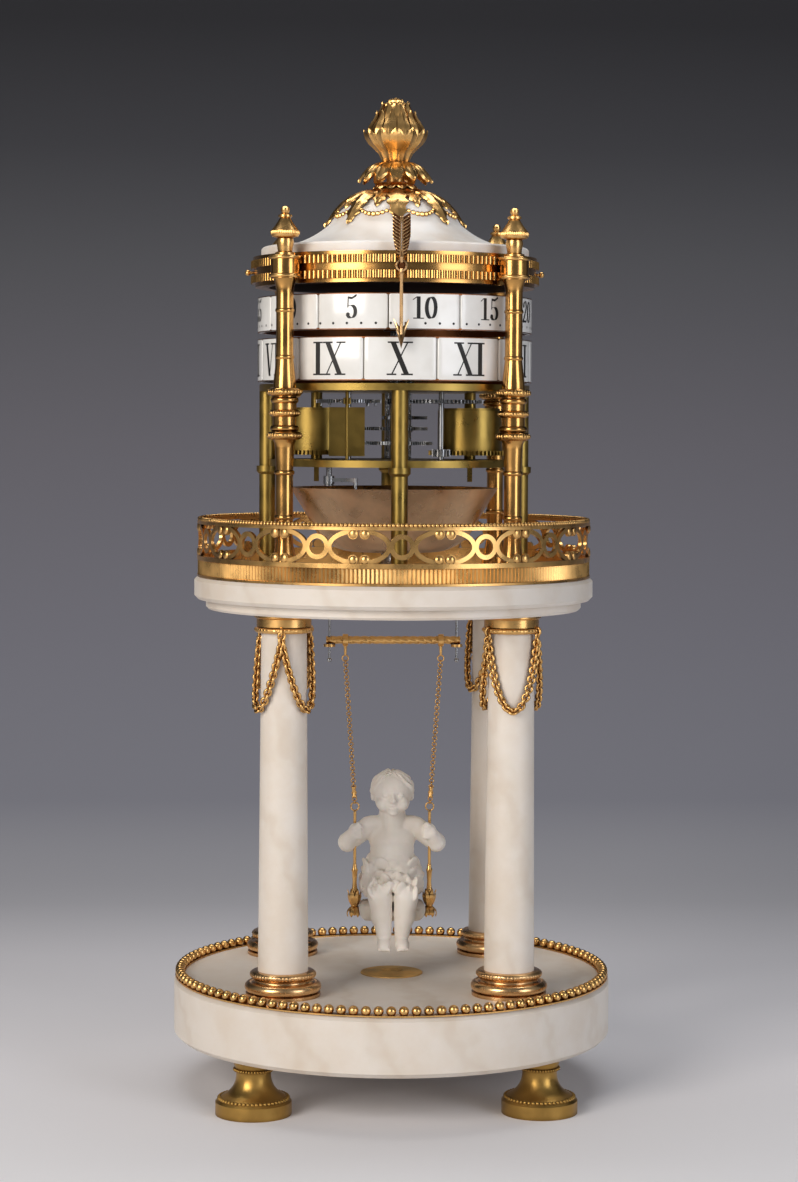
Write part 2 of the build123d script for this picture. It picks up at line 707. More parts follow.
def make_gallery():
    """Pierced gallery: rings and open scroll pairs cut from one band, in a repeating pattern."""
    middle = GALLERY_RADIUS - BAND_WALL / 2
    half_pitch = math.pi * middle / GALLERY_UNITS
    half_high = PIERCED_HEIGHT / 2
    strap = GALLERY_STRAP
    lobe = GALLERY_LOBE_RADIUS
    half_wide = half_pitch - GALLERY_RING_RADIUS + strap / 2

    round_link = Circle(GALLERY_RING_RADIUS) - Circle(GALLERY_RING_RADIUS - strap)
    scrolls = Ellipse(half_wide, half_high) - Ellipse(half_wide - strap, half_high - strap)
    scrolls -= Rectangle(2 * lobe + strap, 4 * half_high)
    for side in (-1, 1):
        for up in (-1, 1):
            scrolls += Pos(side * (lobe + 0.3), up * (half_high - lobe - 0.2)) * Circle(lobe)
    height = BAND_TOP + half_high
    face = Plane((0, -middle, height), x_dir=(1, 0, 0), z_dir=(0, -1, 0))
    wall = ring(middle + GALLERY_WALL / 2, middle - GALLERY_WALL / 2, BAND_TOP, PIERCED_TOP)
    copies = []
    for motif, shift in ((round_link, 0), (scrolls, 0.5)):
        cut = wall & extrude(face * motif, GALLERY_WALL * 4, both=True)
        copies += [Rot(0, 0, (index + shift) * 360 / GALLERY_UNITS) * cut for index in range(GALLERY_UNITS)]
    rails = ring(middle + BAND_WALL / 2, middle - BAND_WALL / 2, BAND_TOP, BAND_TOP + GALLERY_RAIL)
    top_rail = ring(middle + BAND_WALL / 2, middle - BAND_WALL / 2, PIERCED_TOP - GALLERY_RAIL, PIERCED_TOP)
    return rails.fuse(top_rail, *copies)


def make_gallery_rim():
    """Beaded bar that caps the gallery."""
    middle = GALLERY_RADIUS - BAND_WALL / 2
    return Pos(0, 0, PIERCED_TOP + GALLERY_RIM_RADIUS) * Torus(middle, GALLERY_RIM_RADIUS)


def bell_profile(grow):
    """Outline of the bell, moved in by grow, from the foot out and up to the rim."""
    low = PLATFORM_TOP + BELL_LIFT
    rim = low + BELL_HEIGHT
    waist = low + 0.42 * BELL_HEIGHT
    return [
        (BELL_WAIST_RADIUS * 0.45, low + grow * 1.0),
        (BELL_WAIST_RADIUS * 0.82 - grow * 0.7, low + 0.14 * BELL_HEIGHT + grow * 0.7),
        (BELL_WAIST_RADIUS - grow, waist),
        (BELL_RIM_RADIUS - grow, rim),
    ]


def make_bell():
    """Bronze bell, mouth up, bored for its stud."""
    foot, belly, waist, rim = bell_profile(0)
    foot_in, belly_in, waist_in, rim_in = bell_profile(BELL_WALL)
    bore = BELL_STUD_RADIUS + RUNNING_CLEARANCE
    return turned(
        (bore, foot[1]),
        foot,
        (belly, waist),
        rim,
        rim_in,
        waist_in,
        (belly_in, foot_in),
        (bore, foot_in[1]),
    )


def make_bell_stand():
    """Turned stand with a stud that goes up through the bell and its nut."""
    low = PLATFORM_TOP
    seat = low + BELL_LIFT
    top = seat + BELL_WALL + BELL_NUT_HEIGHT + 1.0
    wide = BELL_STAND_RADIUS
    return turned(
        (0, low),
        (wide, low),
        (wide, low + 0.18 * BELL_LIFT),
        ((0.58 * wide, low + 0.38 * BELL_LIFT), (0.45 * wide, seat - 0.14 * BELL_LIFT)),
        (0.64 * wide, seat),
        (BELL_STUD_RADIUS, seat),
        (BELL_STUD_RADIUS, top),
        (0, top),
    )


def make_bell_nut():
    """Turned nut that holds the bell on its stud."""
    low = PLATFORM_TOP + BELL_LIFT + BELL_WALL
    bore = BELL_STUD_RADIUS + RUNNING_CLEARANCE
    wide = BELL_STUD_RADIUS * 2.1
    high = low + BELL_NUT_HEIGHT
    return turned((bore, low), (wide, low), (wide - 0.6, high), (bore, high))


# Movement frame
def make_posts():
    """Pillars from the platform to the upper plate, with a foot and a collar under the lower plate."""
    foot = PLATFORM_TOP + POST_COLLAR_HEIGHT
    collar = LOWER_PLATE_LOW - POST_COLLAR_HEIGHT
    post = turned(
        (0, PLATFORM_TOP),
        (POST_COLLAR_RADIUS, PLATFORM_TOP),
        (POST_COLLAR_RADIUS, foot),
        (POST_RADIUS, foot + POST_COLLAR_RADIUS - POST_RADIUS),
        (POST_RADIUS, collar - POST_COLLAR_RADIUS + POST_RADIUS),
        (POST_COLLAR_RADIUS, collar),
        (POST_COLLAR_RADIUS, LOWER_PLATE_LOW),
        (POST_RADIUS, LOWER_PLATE_LOW),
        (POST_RADIUS, UPPER_PLATE_LOW),
        (0, UPPER_PLATE_LOW),
    )
    post -= rod(SCREW_RADIUS, UPPER_PLATE_LOW - SCREW_LENGTH, UPPER_PLATE_LOW + 1)
    return [Pos(*at, 0) * post for at in POSTS]


def drill_pivots(plate, low, high):
    """Pivot holes of the train through one plate."""
    for at in SMALL_PIVOTS:
        plate -= rod(PIVOT_RADIUS + RUNNING_CLEARANCE, low - 1, high + 1, at)
    for at in BARREL_PIVOTS:
        plate -= rod(BARREL_PIVOT_RADIUS + RUNNING_CLEARANCE, low - 1, high + 1, at)
    return plate


def make_lower_plate():
    """Round brass plate, notched round the posts and resting on their collars."""
    plate = rod(PLATE_RADIUS, LOWER_PLATE_LOW, LOWER_PLATE_TOP)
    plate = drill_pivots(plate, LOWER_PLATE_LOW, LOWER_PLATE_TOP)
    for at in POSTS:
        plate -= rod(POST_RADIUS + RUNNING_CLEARANCE, LOWER_PLATE_LOW - 1, LOWER_PLATE_TOP + 1, at)
    return plate - rod(HAMMER_STUD_RADIUS, LOWER_PLATE_LOW - 1, LOWER_PLATE_TOP + 1, HAMMER_AT)


def make_upper_plate():
    """Round brass plate that covers the post tops and takes the screws."""
    plate = rod(POST_CIRCLE + POST_RADIUS, UPPER_PLATE_LOW, UPPER_PLATE_TOP)
    plate = drill_pivots(plate, UPPER_PLATE_LOW, UPPER_PLATE_TOP)
    plate -= rod(CENTRE_ARBOR_RADIUS + RUNNING_CLEARANCE, UPPER_PLATE_LOW - 1, UPPER_PLATE_TOP + 1)
    plate -= rod(ARBOR_RADIUS, UPPER_PLATE_LOW - 1, UPPER_PLATE_TOP + 1, MINUTE_WHEEL_AT)
    for at in POSTS:
        plate -= rod(SCREW_RADIUS, UPPER_PLATE_LOW - 1, UPPER_PLATE_TOP + 1, at)
        plate -= rod(SCREW_HEAD_RADIUS, UPPER_PLATE_TOP - SCREW_HEAD_HEIGHT, UPPER_PLATE_TOP + 1, at)
    return plate


def make_plate_screws():
    """Flush screws through the upper plate into the posts."""
    screw = rod(SCREW_HEAD_RADIUS, UPPER_PLATE_TOP - SCREW_HEAD_HEIGHT, UPPER_PLATE_TOP)
    screw += rod(SCREW_RADIUS, UPPER_PLATE_LOW - SCREW_LENGTH, UPPER_PLATE_TOP - SCREW_HEAD_HEIGHT)
    slot = Pos(0, 0, UPPER_PLATE_TOP) * Box(SCREW_HEAD_RADIUS * 3, SCREW_SLOT, SCREW_SLOT * 2)
    return [Pos(*at, 0) * (screw - slot) for at in POSTS]


def make_motion_stud():
    """Stud on the upper plate that the minute wheel turns on."""
    stud = rod(ARBOR_RADIUS, UPPER_PLATE_LOW, MINUTE_PINION_TOP)
    shoulder = ring(ARBOR_RADIUS * 2, ARBOR_RADIUS * 0.5, UPPER_PLATE_TOP, MINUTE_WHEEL_LOW - END_SHAKE)
    return Pos(*MINUTE_WHEEL_AT, 0) * (stud + shoulder)


# Going train
def make_barrel(at):
    """Spring barrel on its arbor, with the great wheel at the foot and a winding square below the plate."""
    toward = bearing(at, INTERMEDIATE_AT if at == GOING_BARREL_AT else PIN_WHEEL_AT)
    low = train_level(GREAT_LEVEL)
    top = train_level(DRUM_TOP_LEVEL)
    wheel = toothed_disc(
        GREAT_TEETH, GREAT_MODULE, TOOTH_SHARE, low, low + GREAT_WHEEL_THICKNESS, toward
    )
    drum = turned(
        (0, low + GREAT_WHEEL_THICKNESS),
        (BARREL_RADIUS, low + GREAT_WHEEL_THICKNESS),
        (BARREL_RADIUS, top - BARREL_LIP),
        (BARREL_RADIUS - BARREL_LIP, top - BARREL_LIP),
        (BARREL_RADIUS - BARREL_LIP, top),
        (0, top),
    )
    body = wheel + drum + arbor(BARREL_PIVOT_RADIUS * 1.6, BARREL_PIVOT_RADIUS)
    square = Pos(0, 0, LOWER_PLATE_LOW - WINDING_SQUARE_LENGTH / 2)
    body += square * Box(WINDING_SQUARE, WINDING_SQUARE, WINDING_SQUARE_LENGTH)
    return Pos(*at, 0) * body


def make_intermediate():
    """Pinion driven by the going barrel, and the wheel that drives the centre pinion."""
    low = train_level(GREAT_LEVEL)
    high = train_level(UPPER_WHEEL_LEVEL)
    body = arbor()
    body += pinion(
        GREAT_PINION,
        GREAT_MODULE,
        low - PINION_OVERLAP,
        low + GREAT_WHEEL_THICKNESS + PINION_OVERLAP,
        gap_phase(bearing(INTERMEDIATE_AT, GOING_BARREL_AT), GREAT_PINION),
    )
    toward = bearing(INTERMEDIATE_AT, CENTRE_AT)
    body += crossed_wheel(GREAT_TEETH, GREAT_MODULE, high, WHEEL_THICKNESS, toward, arms=5)
    return Pos(*INTERMEDIATE_AT, 0) * body


def make_centre_arbor():
    """Arbor that carries the minute ring: pinion, centre wheel, cannon pinion and a seat for the hour hub."""
    body = rod(PIVOT_RADIUS, LOWER_PLATE_LOW, LOWER_PLATE_TOP + END_SHAKE)
    body += rod(CENTRE_ARBOR_RADIUS, LOWER_PLATE_TOP + END_SHAKE, CENTRE_ARBOR_TOP)
    level = train_level(UPPER_WHEEL_LEVEL)
    body += pinion(
        GREAT_PINION,
        GREAT_MODULE,
        level - PINION_OVERLAP,
        level + WHEEL_THICKNESS + PINION_OVERLAP,
        gap_phase(bearing(CENTRE_AT, INTERMEDIATE_AT), GREAT_PINION),
    )
    toward = bearing(CENTRE_AT, THIRD_AT)
    low = train_level(CENTRE_WHEEL_LEVEL)
    body += crossed_wheel(CENTRE_TEETH, TRAIN_MODULE, low, WHEEL_THICKNESS, toward, arms=4)
    body += pinion(
        CANNON_TEETH,
        MOTION_MODULE,
        CANNON_LOW,
        CANNON_TOP,
        gap_phase(MINUTE_WHEEL_BEARING, CANNON_TEETH),
    )
    return body + rod(CENTRE_ARBOR_RADIUS + HUB_SEAT, CANNON_TOP, HOUR_HUB_LOW - 2 * END_SHAKE)


def make_third():
    """Third pinion and wheel."""
    low = train_level(CENTRE_WHEEL_LEVEL)
    high = train_level(THIRD_WHEEL_LEVEL)
    body = arbor(FAST_ARBOR_RADIUS)
    body += pinion(
        TRAIN_PINION,
        TRAIN_MODULE,
        low - PINION_OVERLAP,
        low + WHEEL_THICKNESS + PINION_OVERLAP,
        gap_phase(bearing(THIRD_AT, CENTRE_AT), TRAIN_PINION),
    )
    toward = bearing(THIRD_AT, ESCAPE_AT)
    body += crossed_wheel(THIRD_TEETH, TRAIN_MODULE, high, WHEEL_THICKNESS, toward, arms=4)
    return Pos(*THIRD_AT, 0) * body


def make_escape():
    """Escape pinion and the saw-toothed escape wheel."""
    low = train_level(THIRD_WHEEL_LEVEL)
    level = train_level(ESCAPE_WHEEL_LEVEL)
    body = arbor(FAST_ARBOR_RADIUS)
    body += pinion(
        TRAIN_PINION,
        TRAIN_MODULE,
        low - PINION_OVERLAP,
        low + WHEEL_THICKNESS + PINION_OVERLAP,
        gap_phase(bearing(ESCAPE_AT, THIRD_AT), TRAIN_PINION),
    )
    step = 360 / ESCAPE_TEETH
    points = []
    for index in range(ESCAPE_TEETH):
        points.append(polar(ESCAPE_RADIUS, index * step))
        points.append(polar(ESCAPE_RADIUS - ESCAPE_TOOTH_DEPTH, (index + 0.15) * step))
        points.append(polar(ESCAPE_RADIUS - ESCAPE_TOOTH_DEPTH, (index + 0.6) * step))
    wheel = Pos(0, 0, level) * extrude(make_face(Polyline(*points, close=True)), WHEEL_THICKNESS)
    window = ring(ESCAPE_RADIUS - ESCAPE_TOOTH_DEPTH - 1.4, 2.6, level - 1, level + WHEEL_THICKNESS + 1)
    for turn in (0, 90):
        window -= Rot(0, 0, turn) * Pos(0, 0, level) * Box(2 * ESCAPE_RADIUS, 1.4, 4 * WHEEL_THICKNESS)
    return Pos(*ESCAPE_AT, 0) * (body + wheel - window)


def make_anchor():
    """Anchor with two pallets that straddle the escape wheel."""
    level = train_level(ESCAPE_WHEEL_LEVEL)
    reach = ESCAPE_RADIUS + PALLET_CLEARANCE
    body = Pos(*ANCHOR_AT, 0) * arbor()
    body += Pos(*ANCHOR_AT, level) * extrude(Circle(ARBOR_RADIUS * 2.2), WHEEL_THICKNESS)
    for side in (-1, 1):
        aside = ANCHOR_BEARING + side * PALLET_SPREAD_DEG
        pallet = polar(reach + PALLET_LENGTH / 2, aside, ESCAPE_AT)
        arm_length = math.dist(ANCHOR_AT, pallet)
        turn = bearing(ANCHOR_AT, pallet)
        middle = polar(arm_length / 2, turn, ANCHOR_AT)
        arm = Pos(*middle, level + WHEEL_THICKNESS / 2) * Rot(0, 0, turn)
        body += arm * Box(arm_length, PALLET_WIDTH, WHEEL_THICKNESS)
        nib = Pos(*pallet, level + WHEEL_THICKNESS / 2) * Rot(0, 0, aside)
        body += nib * Box(PALLET_LENGTH, PALLET_WIDTH, WHEEL_THICKNESS)
    return body


def make_minute_wheel():
    """Minute wheel with the pinion that drives the hour wheel, on a stud above the upper plate."""
    low = MINUTE_WHEEL_LOW
    toward = MINUTE_WHEEL_BEARING + 180
    body = crossed_wheel(
        MINUTE_WHEEL_TEETH, MOTION_MODULE, low, WHEEL_THICKNESS, toward, arms=3, hub=3.4, rim=1.6
    )
    body += pinion(MINUTE_PINION, HOUR_MODULE, low, MINUTE_PINION_TOP, gap_phase(toward, MINUTE_PINION))
    body -= rod(ARBOR_RADIUS + RUNNING_CLEARANCE, low - 1, MINUTE_PINION_TOP + 1)
    return Pos(*MINUTE_WHEEL_AT, 0) * body


# Strike train
def make_pin_wheel():
    """Strike pinion and the pin wheel whose pins lift the hammer."""
    low = train_level(GREAT_LEVEL)
    high = train_level(UPPER_WHEEL_LEVEL)
    body = arbor()
    body += pinion(
        GREAT_PINION,
        GREAT_MODULE,
        low - PINION_OVERLAP,
        low + GREAT_WHEEL_THICKNESS + PINION_OVERLAP,
        gap_phase(bearing(PIN_WHEEL_AT, STRIKE_BARREL_AT), GREAT_PINION),
    )
    toward = bearing(PIN_WHEEL_AT, FLY_AT)
    body += crossed_wheel(PIN_WHEEL_TEETH, TRAIN_MODULE, high, WHEEL_THICKNESS, toward, arms=4)
    pin_circle = pitch_radius(PIN_WHEEL_TEETH, TRAIN_MODULE) - 2.0
    for index in range(STRIKE_PINS):
        at = polar(pin_circle, 360 * index / STRIKE_PINS)
        body += rod(STRIKE_PIN_RADIUS, high - STRIKE_PIN_LENGTH, high, at)
    return Pos(*PIN_WHEEL_AT, 0) * body


def make_fly():
    """Fly: pinion and a thin vane that slows the strike."""
    high = train_level(UPPER_WHEEL_LEVEL)
    body = arbor(FAST_ARBOR_RADIUS)
    body += pinion(
        TRAIN_PINION,
        TRAIN_MODULE,
        high - PINION_OVERLAP,
        high + WHEEL_THICKNESS + PINION_OVERLAP,
        gap_phase(bearing(FLY_AT, PIN_WHEEL_AT), TRAIN_PINION),
    )
    vane_low = train_level(FLY_LOW_LEVEL)
    vane_high = train_level(DRUM_TOP_LEVEL)
    vane = Pos(0, 0, (vane_low + vane_high) / 2) * Box(FLY_WIDTH, FLY_THICKNESS, vane_high - vane_low)
    return Pos(*FLY_AT, 0) * (body + vane)


def make_hammer_stud():
    """Stud under the lower plate, with a foot that keeps the hammer on."""
    stud = rod(HAMMER_STUD_RADIUS, HAMMER_LOW - END_SHAKE - HAMMER_STUD_FOOT, LOWER_PLATE_TOP)
    foot = rod(HAMMER_STUD_RADIUS * 1.7, HAMMER_LOW - END_SHAKE - HAMMER_STUD_FOOT, HAMMER_LOW - END_SHAKE)
    return Pos(*HAMMER_AT, 0) * (stud + foot)


def make_hammer():
    """Hammer: hub, arm and a ball head just inside the bell's lip."""
    hub = ring(HAMMER_HUB_RADIUS, HAMMER_STUD_RADIUS + RUNNING_CLEARANCE, HAMMER_LOW, HAMMER_TOP)
    head_height = PLATFORM_TOP + BELL_LIFT + BELL_HEIGHT - HAMMER_HEAD_DROP
    waist, rim = bell_profile(BELL_WALL)[2:]
    slope = (rim[0] - waist[0]) / (rim[1] - waist[1])
    wall = waist[0] + (head_height - waist[1]) * slope
    reach = wall - (HAMMER_HEAD_RADIUS + HAMMER_STRIKE_GAP) * math.hypot(1, slope)
    start = math.hypot(*HAMMER_AT)
    opening = math.degrees(math.acos((start**2 + reach**2 - HAMMER_ARM**2) / (2 * start * reach)))
    head_at = polar(reach, bearing((0, 0), HAMMER_AT) + opening)
    offset = (head_at[0] - HAMMER_AT[0], head_at[1] - HAMMER_AT[1])
    middle = (HAMMER_LOW + HAMMER_TOP) / 2
    turn = bearing((0, 0), offset)
    arm_start = HAMMER_STUD_RADIUS + 2 * RUNNING_CLEARANCE + 0.4
    arm = Rot(0, 0, turn) * Pos((HAMMER_ARM + arm_start) / 2, 0, middle)
    body = hub + arm * Box(HAMMER_ARM - arm_start, HAMMER_ARM_WIDTH, HAMMER_ARM_WIDTH)
    body += rod(HAMMER_ARM_WIDTH / 2, head_height, middle + HAMMER_ARM_WIDTH / 2, offset)
    body += Pos(*offset, head_height) * Sphere(HAMMER_HEAD_RADIUS)
    return Pos(*HAMMER_AT, 0) * body


# Ring dials
def ring_frame(low, high, arm_low, hub_low, hub_high):
    """Thin band with lips that hold the plaques, carried on arms from a hub."""
    inner = RING_RADIUS - PLAQUE_THICKNESS - RING_BAND
    band = ring(RING_RADIUS - PLAQUE_THICKNESS, inner, low, high)
    band += ring(RING_RADIUS + RING_LIP_PROUD, inner, low, low + RING_LIP)
    band += ring(RING_RADIUS + RING_LIP_PROUD, inner, high - RING_LIP, high)
    for index in range(RING_ARMS):
        length = inner + RING_BAND / 2
        arm = Pos(length / 2, 0, arm_low + ARM_THICKNESS / 2) * Box(length, ARM_WIDTH, ARM_THICKNESS)
        band += Rot(0, 0, 45 + 360 * index / RING_ARMS) * arm
    band += rod(HUB_RADIUS, hub_low, hub_high)
    return band - rod(CENTRE_ARBOR_RADIUS + RUNNING_CLEARANCE, hub_low - 1, hub_high + 1)


def plaques(low, high, rest_turn_deg):
    """Enamel tiles of one ring, set between the lips, the first one facing the front."""
    inner = RING_RADIUS - PLAQUE_THICKNESS + RUNNING_CLEARANCE
    bottom = low + RING_LIP + RUNNING_CLEARANCE
    top = high - RING_LIP - RUNNING_CLEARANCE
    outline = Polyline(
        (inner, 0, bottom), (RING_RADIUS, 0, bottom), (RING_RADIUS, 0, top), (inner, 0, top), close=True
    )
    step = 360 / PLAQUES
    tile = revolve(make_face(outline), Axis.Z, revolution_arc=step - PLAQUE_GAP_DEG)
    start = -90 + rest_turn_deg - (step - PLAQUE_GAP_DEG) / 2
    return [Rot(0, 0, start + index * step) * tile for index in range(PLAQUES)]


def make_hour_ring():
    """Hour ring on its pipe, with the hour wheel."""
    frame = ring_frame(HOUR_LOW, HOUR_TOP, HOUR_ARM_LOW, HOUR_HUB_LOW, HOUR_HUB_TOP)
    toward = MINUTE_WHEEL_BEARING
    wheel = crossed_wheel(HOUR_WHEEL_TEETH, HOUR_MODULE, HOUR_HUB_LOW, WHEEL_THICKNESS, toward, rim=1.6)
    return frame + (wheel - rod(HUB_RADIUS - RING_BAND, HOUR_HUB_LOW - 1, HOUR_HUB_TOP))


def make_minute_ring():
    """Minute ring, fixed on the top of the centre arbor."""
    return ring_frame(MINUTE_LOW, MINUTE_TOP, MINUTE_ARM_LOW, MINUTE_HUB_LOW, CENTRE_ARBOR_TOP)


# Upper columns, cornice, dome and finial
def bulge(radius, middle, half, root):
    """Steps of a round moulding that swells from a root radius and back."""
    return [(root, middle - half), ((radius, middle), (root, middle + half))]


def make_upper_columns():
    """Slender gilt columns with a banded shaft and a beaded knop at the height of the upper plate."""
    low, high = PLATFORM_TOP, EAR_LOW
    shaft = UPPER_SHAFT_RADIUS
    knop = UPPER_KNOP_RADIUS
    core = shaft + 1.35
    base_top = low + UPPER_BASE_HEIGHT
    middle = UPPER_PLATE_LOW - KNOP_DROP
    reach = KNOP_HEIGHT / 2
    steps = [
        (UPPER_BASE_RADIUS, low),
        (UPPER_BASE_RADIUS, low + 0.2 * UPPER_BASE_HEIGHT),
        ((shaft + 0.7, low + 0.45 * UPPER_BASE_HEIGHT), (shaft, base_top)),
        *bulge(shaft + 0.5, base_top + 1.5, 1.0, shaft),
        *bulge(shaft + 0.6, middle - reach - 12.5, 1.0, shaft),
        (shaft + 0.55, middle - reach),
        *bulge(knop, middle - 0.74 * reach, 0.13 * reach, core),
        *bulge(core + 1.1, middle - 0.5 * reach, 0.1 * reach, core),
        *bulge(knop - 0.8, middle, 0.12 * reach, core),
        *bulge(core + 0.9, middle + 0.43 * reach, 0.1 * reach, core),
        *bulge(knop, middle + 0.7 * reach, 0.13 * reach, core),
        (shaft + 1.15, middle + reach),
        *bulge(shaft + 0.4, middle + reach + 11.0, 0.9, shaft),
        *bulge(shaft + 0.4, high - UPPER_NECK_DROP, 0.9, shaft),
        (shaft, high - UPPER_FLARE_HEIGHT),
        ((shaft + 0.3 * UPPER_FLARE, high - 0.4 * UPPER_FLARE_HEIGHT), (shaft + UPPER_FLARE, high)),
        (0, high),
    ]
    return at_corners(turned((0, low), *steps))


def make_column_finials():
    """Turned finials over the cornice ears: an egg, a milled disc, a small knob and a point."""
    low = EAR_TOP
    share = COLUMN_FINIAL_HEIGHT
    stem = UPPER_SHAFT_RADIUS - 0.55
    finial = turned(
        (0, low),
        (stem + 0.4, low),
        (0.68 * stem, low + 0.08 * share),
        ((1.22 * stem, low + 0.29 * share), (0.8 * stem, low + 0.45 * share)),
        (MILLED_DISC_RADIUS, low + 0.5 * share),
        (MILLED_DISC_RADIUS, low + 0.57 * share),
        ((0.95 * stem, low + 0.62 * share), (0.7 * stem, low + 0.72 * share)),
        *bulge(0.9 * stem, low + 0.83 * share, 0.07 * share, 0.6 * stem),
        (0.4 * stem, low + 0.93 * share),
        (0.4 * stem, low + 0.95 * share),
        cap_arc(0.4 * stem, low + 0.95 * share, 0.05 * share),
    )
    return at_corners(finial)


def make_cornice():
    """Gilt ring with two milled bands, and an ear over each upper column."""
    inner = CORNICE_BOARD_RADIUS + RUNNING_CLEARANCE
    wide = CORNICE_RADIUS
    unit = CORNICE_HEIGHT / 8
    body = ring(wide - 2.0, inner, CORNICE_LOW, CORNICE_LOW + unit)
    milling = (MILLED_FLUTES, MILLED_DEPTH)
    body += fluted_ring(wide, inner, CORNICE_LOW + unit, CORNICE_LOW + 3 * unit, *milling)
    body += ring(wide - 1.4, inner, CORNICE_LOW + 3 * unit, CORNICE_LOW + 5 * unit)
    body += fluted_ring(wide, inner, CORNICE_LOW + 5 * unit, CORNICE_LOW + 7 * unit, *milling)
    body += ring(wide - 1.0, inner, CORNICE_LOW + 7 * unit, CORNICE_TOP)
    for corner in PLAN_CORNERS:
        body += rod(EAR_RADIUS, EAR_LOW, EAR_TOP, corner)
    return body


def make_cornice_board():
    """Dark board that closes the cornice from below."""
    return rod(CORNICE_BOARD_RADIUS, CORNICE_LOW, CORNICE_LOW + CORNICE_BOARD_THICKNESS)


def make_cornice_pins():
    """Small ball-headed pins at the left and right of the cornice."""
    height = CORNICE_LOW + CORNICE_HEIGHT / 2
    start = CORNICE_RADIUS - 1.4
    pins = []
    for side in (-1, 1):
        ball = (side * (CORNICE_RADIUS + PIN_BALL_RADIUS), 0, height)
        pins.append(strut((side * start, 0, height), ball, PIN_BALL_RADIUS * 0.5, PIN_BALL_RADIUS * 0.5))
        pins[-1] += Pos(*ball) * Sphere(PIN_BALL_RADIUS)
    return pins


def dome_arc(grow):
    """Start, middle and end of the dome's crown, moved out by grow."""
    crown = CORNICE_TOP + CROWN_LIFT
    return (
        (CAP_RADIUS - CAP_WALL + grow, crown + grow * 0.4),
        (0.78 * CAP_RADIUS + grow * 0.7, crown + 0.5 * (DOME_TOP - crown) + grow * 0.7),
        (DOME_NECK_RADIUS + grow * 0.3, DOME_TOP + grow),
    )


def make_dome():
    """Low marble dome with a hollow sweep up to a rounded crown."""
    edge = CORNICE_TOP + DOME_EDGE
    start, middle, end = dome_arc(0)
    sweep = (0.5 * (DOME_RADIUS + start[0]) - 1.2, edge + 0.22 * (start[1] - edge))
    return turned(
        (0, CORNICE_TOP),
        (DOME_RADIUS, CORNICE_TOP),
        (DOME_RADIUS, edge - 0.8),
        (DOME_RADIUS - 0.8, edge),
        (sweep, start),
        (middle, end),
        (0, DOME_TOP),
    )


def lobed(count, tip, valley, low, high):
    """Upright prism whose plan is a rosette of pointed leaves."""
    step = 360 / count
    edges = []
    swell = valley + 0.6 * (tip - valley)
    for index in range(count):
        turn = index * step
        points = [
            polar(valley, turn - step / 2),
            polar(swell, turn - step * 0.3),
            polar(tip, turn),
            polar(swell, turn + step * 0.3),
            polar(valley, turn + step / 2),
        ]
        edges.append(ThreePointArc(*points[:3]))
        edges.append(ThreePointArc(*points[2:]))
    return Pos(0, 0, low) * extrude(make_face(edges), high - low)


def make_dome_cap():
    """Gilt leaf cap over the crown of the dome, pierced between its leaves."""
    inner = dome_arc(DECK_CLEARANCE)
    outer = dome_arc(DECK_CLEARANCE + CAP_WALL)
    shell = turned(inner[0], inner[1:], (0, inner[2][1]), (0, outer[2][1]), outer[2], (outer[1], outer[0]))
    cap = shell & lobed(CAP_LEAVES, CAP_RADIUS + CAP_WALL, CAP_VALLEY, CORNICE_TOP, DOME_TOP + 9)
    hole_at = 0.5 * (CAP_VALLEY + DOME_NECK_RADIUS)
    for index in range(CAP_LEAVES):
        x, y = polar(hole_at, (index + 0.5) * 360 / CAP_LEAVES)
        cap -= rod(CAP_HOLE_RADIUS, CORNICE_TOP, DOME_TOP + 9, (x, y))
    base = outer[2][1]
    neck = turned(
        (0, inner[2][1]),
        (DOME_NECK_RADIUS, base - CAP_WALL / 2),
        ((0.62 * DOME_NECK_RADIUS, base + 0.3 * CAP_NECK), (FINIAL_STEM * 1.5, base + CAP_NECK)),
        (0, base + CAP_NECK),
    )
    return cap + neck


def cap_top():
    """Height of the cap's flat top, where the finial stands."""
    return dome_arc(DECK_CLEARANCE + CAP_WALL)[2][1] + CAP_NECK


def make_leaf_collar():
    """Collar of drooping petals round the finial's stem."""
    low = cap_top()
    bore = FINIAL_STEM + RUNNING_CLEARANCE
    drop = COLLAR_HEIGHT
    shell = turned(
        (bore, low + drop - COLLAR_WALL),
        ((0.62 * COLLAR_RADIUS, low + 0.72 * drop), (COLLAR_RADIUS - COLLAR_WALL, low + 0.05 * drop)),
        (COLLAR_RADIUS, low + 0.05 * drop),
        ((0.66 * COLLAR_RADIUS, low + 0.72 * drop + COLLAR_WALL), (bore, low + drop)),
    )
    return shell & lobed(COLLAR_PETALS, COLLAR_RADIUS + 0.4, COLLAR_VALLEY, low - 1, low + drop + 1)


def make_finial():
    """Bud finial with a berry top, on a stem through the collar."""
    low = cap_top()
    foot = low + COLLAR_HEIGHT + FINIAL_LIFT
    tall = FINIAL_HEIGHT - FINIAL_LIFT
    wide = FINIAL_RADIUS
    return turned(
        (0, low),
        (FINIAL_STEM, low),
        (FINIAL_STEM, foot),
        (0.39 * wide, foot),
        ((0.56 * wide, foot + 0.17 * tall), (0.95 * wide, foot + 0.36 * tall)),
        ((wide, foot + 0.42 * tall), (0.95 * wide, foot + 0.48 * tall)),
        (0.56 * wide, foot + 0.77 * tall),
        cap_arc(0.56 * wide, foot + 0.77 * tall, 0.23 * tall),
    )


